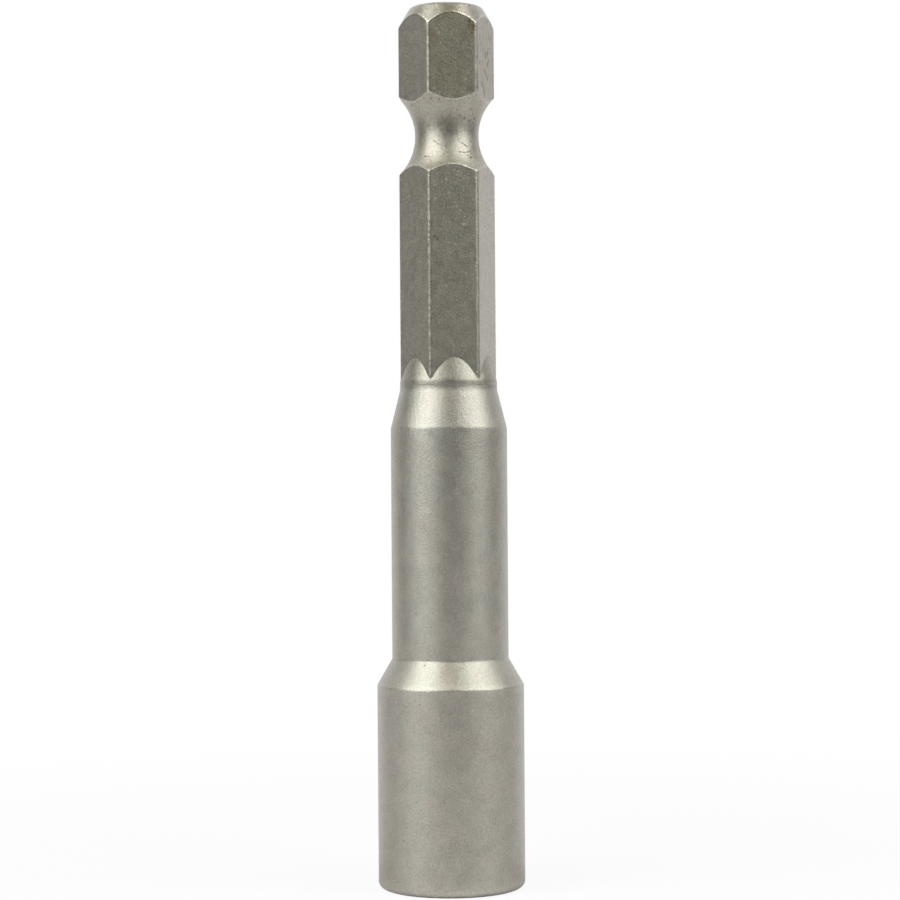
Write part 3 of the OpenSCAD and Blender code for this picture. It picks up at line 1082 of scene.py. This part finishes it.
def ray_kinds(nodes):
    """Masks of the camera's own rays, and of those that the tool mirrors."""
    path = nodes.add("LightPath").outputs
    return path["Is Camera Ray"], nodes.most(path["Is Glossy Ray"], path["Is Transmission Ray"])


def mirrored_backdrop(s):
    """Colour of the backdrop as the tool mirrors it."""
    return tuple(c * s.bounce_level for c in s.bounce)


def add_floor(s):
    """A plain pale floor. It looks as white as the backdrop but keeps the tool's shadow.

    Its hole is hidden by the tool's rim. It lets light into the pocket for a view from below.
    """
    mesh = bpy.data.meshes.new("floor")
    across, away = heading(s.camera_azimuth + math.pi / 2), -heading(s.camera_azimuth)
    corners = [
        across * side + away * depth
        for side, depth in (
            (-s.floor_side, -s.floor_front), (s.floor_side, -s.floor_front),
            (s.floor_side, s.floor_back), (-s.floor_side, s.floor_back))]
    mesh.from_pydata(corners, [], [range(4)])
    floor = add_object("floor", mesh)
    material, nodes, where = new_material("Studio Floor")
    seen, mirrored = ray_kinds(nodes)
    far = nodes.vector("LENGTH", where)
    clear_of_rim = nodes.span(far, *RIM_CLEARANCE)
    white = nodes.times(clear_of_rim, backdrop_sector(nodes, where, s.camera_azimuth))
    shown = nodes.most(seen, nodes.times(mirrored, white))
    glow_share = nodes.span(far, *GLOW_REACH, s.floor_glow, 1.0)
    paper = nodes.add("BsdfDiffuse", {"Color": s.floor, "Roughness": 0.0})
    glow = nodes.add("Emission", {
        "Color": nodes.mix(seen, mirrored_backdrop(s), s.backdrop), "Strength": 1.0})
    lifted = nodes.add("MixShader", {
        0: nodes.times(shown, glow_share), 1: paper.outputs[0], 2: glow.outputs[0]})
    clear = nodes.add("BsdfTransparent")
    under = nodes.add("NewGeometry").outputs["Backfacing"]
    hole = nodes.math("LESS_THAN", far, s.floor_hole)
    shader = nodes.add("MixShader", {
        0: nodes.most(under, hole), 1: lifted.outputs[0], 2: clear.outputs[0]})
    mesh.materials.append(finish_material(material, nodes, shader, s.floor))


def set_room(s):
    """The room's light: a dim room in front of the tool and a white backdrop behind it."""
    world = bpy.data.worlds.new("studio")
    world.use_nodes = True
    bpy.context.scene.world = world
    nodes = Nodes(world.node_tree)
    seen, mirrored = ray_kinds(nodes)
    direction = nodes.add("TexCoord").outputs["Generated"]
    rise = nodes.parts(direction)["Z"]
    upward = nodes.math("POWER", nodes.most(rise, 0.0), 1.3)
    room = nodes.mix(upward, s.room, s.ceiling)
    room = nodes.mix(nodes.span(rise, STEEP_DOWN + STEEP_FADE, STEEP_DOWN), room, s.floor)
    above = nodes.math("GREATER_THAN", rise, STEEP_DOWN + STEEP_FADE)
    backdrop = backdrop_sector(nodes, direction, s.camera_azimuth)
    behind = nodes.times(nodes.times(mirrored, backdrop), above)
    light = nodes.mix(behind, room, mirrored_backdrop(s))
    light = nodes.mix(seen, light, s.backdrop)
    shine = nodes.add("Background", {"Color": light, "Strength": 1.0})
    output = nodes.tree.nodes.new("ShaderNodeOutputWorld")
    nodes.tree.links.new(shine.outputs[0], output.inputs["Surface"])


class NUTSETTER_OT_build_stage(bpy.types.Operator):
    """Set up the camera, the floor, the room and the two soft boxes"""

    bl_idname = "nutsetter.build_stage"
    bl_label = "Build Stage"
    bl_options = {"REGISTER", "UNDO"}

    def execute(self, context):
        s = context.scene.nutsetter_stage
        context.scene.view_settings.view_transform = "Standard"
        add_camera(s)
        add_floor(s)
        set_room(s)
        add_soft_box("key_box", s, KEY_BOX, s.key_level, s.key_lean)
        add_soft_box("fill_box", s, FILL_BOX, s.fill_level, s.fill_lean)
        return {"FINISHED"}


PIECES = [
    ("nutsetter_drive_shank", DriveShankSettings, [NUTSETTER_OT_build_drive_shank]),
    ("nutsetter_socket_body", SocketBodySettings, [NUTSETTER_OT_build_socket_body]),
    ("nutsetter_inserts", InsertSettings,
     [NUTSETTER_OT_build_magnet_sleeve, NUTSETTER_OT_build_magnet]),
    ("nutsetter_stage", StageSettings, [NUTSETTER_OT_build_stage]),
]


class NUTSETTER_PT_panel(bpy.types.Panel):
    """Lists the settings of every piece, with the buttons that build them"""

    bl_idname = "NUTSETTER_PT_panel"
    bl_label = "Nut Setter"
    bl_space_type = "VIEW_3D"
    bl_region_type = "UI"
    bl_category = "Nut Setter"

    def draw(self, context):
        for attribute, kind, operators in PIECES:
            box = self.layout.box()
            box.label(text=kind.__doc__)
            settings = getattr(context.scene, attribute)
            for name in kind.__annotations__:
                box.prop(settings, name)
            for operator in operators:
                box.operator(operator.bl_idname)


def register():
    for attribute, kind, operators in PIECES:
        bpy.utils.register_class(kind)
        setattr(bpy.types.Scene, attribute, PointerProperty(type=kind))
        for operator in operators:
            bpy.utils.register_class(operator)
    bpy.utils.register_class(NUTSETTER_PT_panel)


def unregister():
    bpy.utils.unregister_class(NUTSETTER_PT_panel)
    for attribute, kind, operators in reversed(PIECES):
        for operator in operators:
            bpy.utils.unregister_class(operator)
        delattr(bpy.types.Scene, attribute)
        bpy.utils.unregister_class(kind)


def main():
    register()
    bpy.ops.nutsetter.build_drive_shank()
    bpy.ops.nutsetter.build_socket_body()
    bpy.ops.nutsetter.build_magnet_sleeve()
    bpy.ops.nutsetter.build_magnet()
    bpy.ops.nutsetter.build_stage()


if __name__ == "__main__":
    main()
